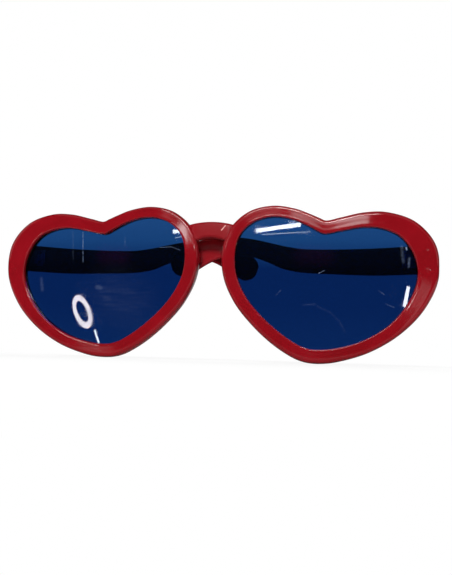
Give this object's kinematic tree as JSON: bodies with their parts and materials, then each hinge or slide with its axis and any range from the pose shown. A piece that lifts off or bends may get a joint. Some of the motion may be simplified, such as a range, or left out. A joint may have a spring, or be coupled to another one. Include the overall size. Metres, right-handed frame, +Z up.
{
  "type": "heart shaped sunglasses",
  "caption": "Jumbo novelty sunglasses with a bowed plastic front of heart rims, tinted sheet lenses and folding temples on riveted metal hinges.",
  "frame": {"origin": "on the centre plane, at the foremost line of the bowed rims and at mid height of the hearts, in the middle of the gap for the nose", "axes": "+X towards the wearer's left, -Y the way the lenses look, +Z up as worn"},
  "size_m": [0.2724, 0.034, 0.0948],
  "materials": {
    "red_front": "glossy moulded plastic",
    "red_temple": "glossy moulded plastic",
    "blue_lens": "dark blue tinted clear sheet",
    "hinge_steel": "plain stamped steel",
    "rivet_steel": "bright rivet heads"
  },
  "bodies": {
    "front": {"front_frame": "red_front", "lens_left": "blue_lens", "lens_right": "blue_lens", "hinge_front_leaf_left": "hinge_steel", "hinge_front_leaf_right": "hinge_steel", "hinge_screw_left": "hinge_steel", "hinge_screw_right": "hinge_steel", "front_rivets_left": "rivet_steel", "front_rivets_right": "rivet_steel"},
    "left_temple": {"temple_left": "red_temple", "hinge_temple_leaf_left": "hinge_steel", "temple_rivets_left": "rivet_steel"},
    "right_temple": {"temple_right": "red_temple", "hinge_temple_leaf_right": "hinge_steel", "temple_rivets_right": "rivet_steel"}
  },
  "joints": [
    {"name": "right_temple_fold", "type": "hinge", "parent": "front", "child": "right_temple", "pos_m": [-0.12975, 0.01433, 0.0138], "axis": [0, 0, 1], "range_deg": [0, 82.5]},
    {"name": "left_temple_fold", "type": "hinge", "parent": "front", "child": "left_temple", "pos_m": [0.12975, 0.01433, 0.0138], "axis": [0, 0, -1], "range_deg": [0, 90]}
  ],
  "couplings": [
    {"joint": "left_temple_fold", "follows": "right_temple_fold", "ratio": 1.0909}
  ]
}
